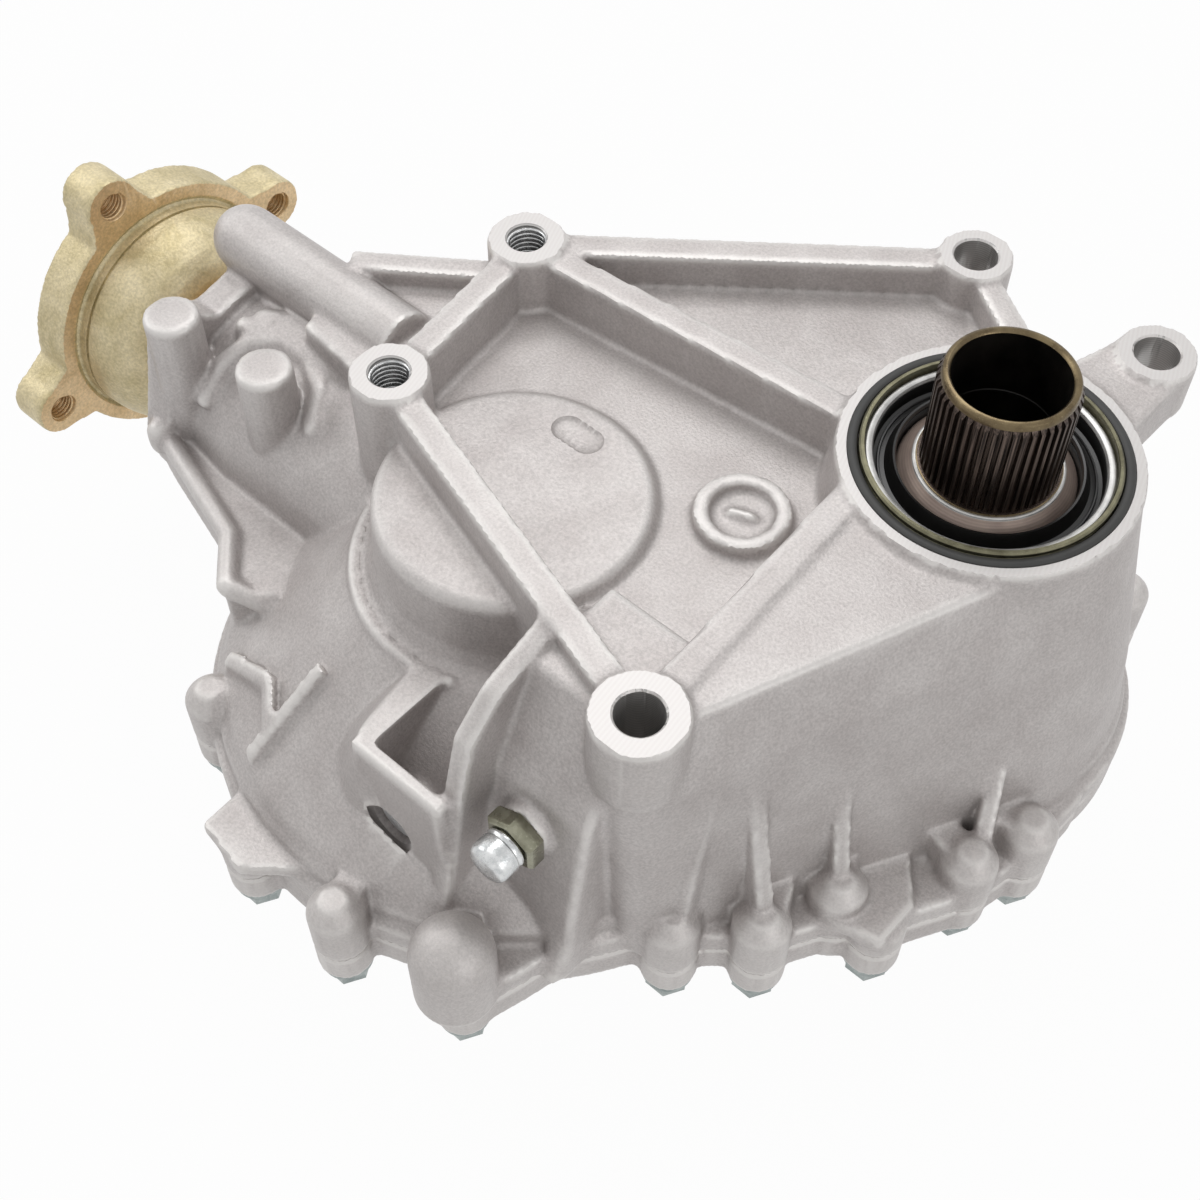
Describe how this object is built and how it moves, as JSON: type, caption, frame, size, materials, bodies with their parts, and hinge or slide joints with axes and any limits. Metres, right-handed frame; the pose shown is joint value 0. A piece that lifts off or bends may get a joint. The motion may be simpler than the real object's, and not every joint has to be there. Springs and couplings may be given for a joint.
{
  "type": "transfer case",
  "caption": "Right-angle transfer case with a hollow splined input shaft, helical gear train, bevel gears and a bolted output flange.",
  "frame": {"origin": "on the input shaft's axis, in the machined face that bolts to the transmission", "axes": "+Z along the input shaft towards the transmission; the output flange points to -X; +Y is the third axis of a right-handed frame"},
  "size_m": [0.3679, 0.2781, 0.2018],
  "materials": {
    "aluminium_washer": "turned",
    "black_rubber": "satin",
    "black_steel": "phosphate",
    "brown_steel": "turned",
    "cast_aluminium": "sand-blasted casting",
    "gear_steel": "machined",
    "ground_steel": "ground",
    "olive_plate": "passivated plate",
    "silver_cap": "bright",
    "yellow_zinc": "yellow zinc plate",
    "zinc_plate": "zinc plate"
  },
  "bodies": {
    "casing": {"axle_seal_lip": "black_rubber", "axle_seal_shell": "ground_steel", "cover_bolts": "zinc_plate", "cover_dowels": "ground_steel", "drain_plug": "zinc_plate", "drain_washer": "aluminium_washer", "face_seal": "black_rubber", "filler_plug": "black_steel", "input_low_bearing_cup": "ground_steel", "input_seal_lip": "black_rubber", "input_seal_shell": "ground_steel", "input_top_bearing_cup": "ground_steel", "main_case": "cast_aluminium", "pilot_ring": "olive_plate", "pinion_head_bearing_cup": "ground_steel", "pinion_seal_lip": "black_rubber", "pinion_seal_shell": "ground_steel", "pinion_tail_bearing_cup": "ground_steel", "rear_cover": "cast_aluminium", "transfer_low_bearing_cup": "ground_steel", "transfer_top_bearing_cup": "ground_steel", "vent_body": "olive_plate"},
    "transfer_shaft_set": {"transfer_shaft": "gear_steel", "transfer_gear": "gear_steel", "ring_gear": "gear_steel", "ring_gear_bolts": "zinc_plate", "transfer_top_bearing_cone": "ground_steel", "transfer_low_bearing_cone": "ground_steel"},
    "input_shaft_set": {"input_shaft": "black_steel", "seal_sleeve": "brown_steel", "input_gear": "gear_steel", "input_top_bearing_cone": "ground_steel", "input_low_bearing_cone": "ground_steel"},
    "pinion_set": {"pinion_shaft": "gear_steel", "output_flange": "yellow_zinc", "dust_deflector": "yellow_zinc", "pinion_nut": "zinc_plate", "pinion_washer": "zinc_plate", "pinion_spacer": "ground_steel", "pinion_shim": "ground_steel", "pinion_head_bearing_cone": "ground_steel", "pinion_tail_bearing_cone": "ground_steel"},
    "input_top_rollers": {"input_top_bearing_rollers": "ground_steel"},
    "input_low_rollers": {"input_low_bearing_rollers": "ground_steel"},
    "transfer_top_rollers": {"transfer_top_bearing_rollers": "ground_steel"},
    "transfer_low_rollers": {"transfer_low_bearing_rollers": "ground_steel"},
    "pinion_head_rollers": {"pinion_head_bearing_rollers": "ground_steel"},
    "pinion_tail_rollers": {"pinion_tail_bearing_rollers": "ground_steel"},
    "breather_cap": {"vent_cap": "silver_cap"}
  },
  "joints": [
    {"name": "transfer_spin", "type": "hinge", "parent": "casing", "child": "transfer_shaft_set", "pos_m": [-0.099, -0.089, 0], "axis": [0, 0, 1], "continuous": true},
    {"name": "input_spin", "type": "hinge", "parent": "casing", "child": "input_shaft_set", "pos_m": [0, 0, 0], "axis": [0, 0, 1], "continuous": true},
    {"name": "pinion_spin", "type": "hinge", "parent": "casing", "child": "pinion_set", "pos_m": [-0.22, -0.072, -0.074], "axis": [1, 0, 0], "continuous": true},
    {"name": "input_top_rollers_spin", "type": "hinge", "parent": "casing", "child": "input_top_rollers", "pos_m": [0, 0, 0], "axis": [0, 0, 1], "continuous": true},
    {"name": "input_low_rollers_spin", "type": "hinge", "parent": "casing", "child": "input_low_rollers", "pos_m": [0, 0, 0], "axis": [0, 0, 1], "continuous": true},
    {"name": "transfer_top_rollers_spin", "type": "hinge", "parent": "casing", "child": "transfer_top_rollers", "pos_m": [-0.099, -0.089, 0], "axis": [0, 0, 1], "continuous": true},
    {"name": "transfer_low_rollers_spin", "type": "hinge", "parent": "casing", "child": "transfer_low_rollers", "pos_m": [-0.099, -0.089, 0], "axis": [0, 0, 1], "continuous": true},
    {"name": "pinion_head_rollers_spin", "type": "hinge", "parent": "casing", "child": "pinion_head_rollers", "pos_m": [-0.22, -0.072, -0.074], "axis": [1, 0, 0], "continuous": true},
    {"name": "pinion_tail_rollers_spin", "type": "hinge", "parent": "casing", "child": "pinion_tail_rollers", "pos_m": [-0.22, -0.072, -0.074], "axis": [1, 0, 0], "continuous": true},
    {"name": "breather_cap_lift", "type": "slide", "parent": "casing", "child": "breather_cap", "axis": [0, -1, 0], "range_m": [0, 0.0008]}
  ],
  "couplings": [
    {"joint": "input_spin", "follows": "transfer_spin", "ratio": -1.5143},
    {"joint": "pinion_spin", "follows": "transfer_spin", "ratio": -2.8462},
    {"joint": "input_top_rollers_spin", "follows": "transfer_spin", "ratio": -0.68725},
    {"joint": "input_low_rollers_spin", "follows": "transfer_spin", "ratio": -0.68725},
    {"joint": "transfer_top_rollers_spin", "follows": "transfer_spin", "ratio": 0.43084},
    {"joint": "transfer_low_rollers_spin", "follows": "transfer_spin", "ratio": 0.43084},
    {"joint": "pinion_head_rollers_spin", "follows": "transfer_spin", "ratio": -1.2646},
    {"joint": "pinion_tail_rollers_spin", "follows": "transfer_spin", "ratio": -1.2557}
  ]
}
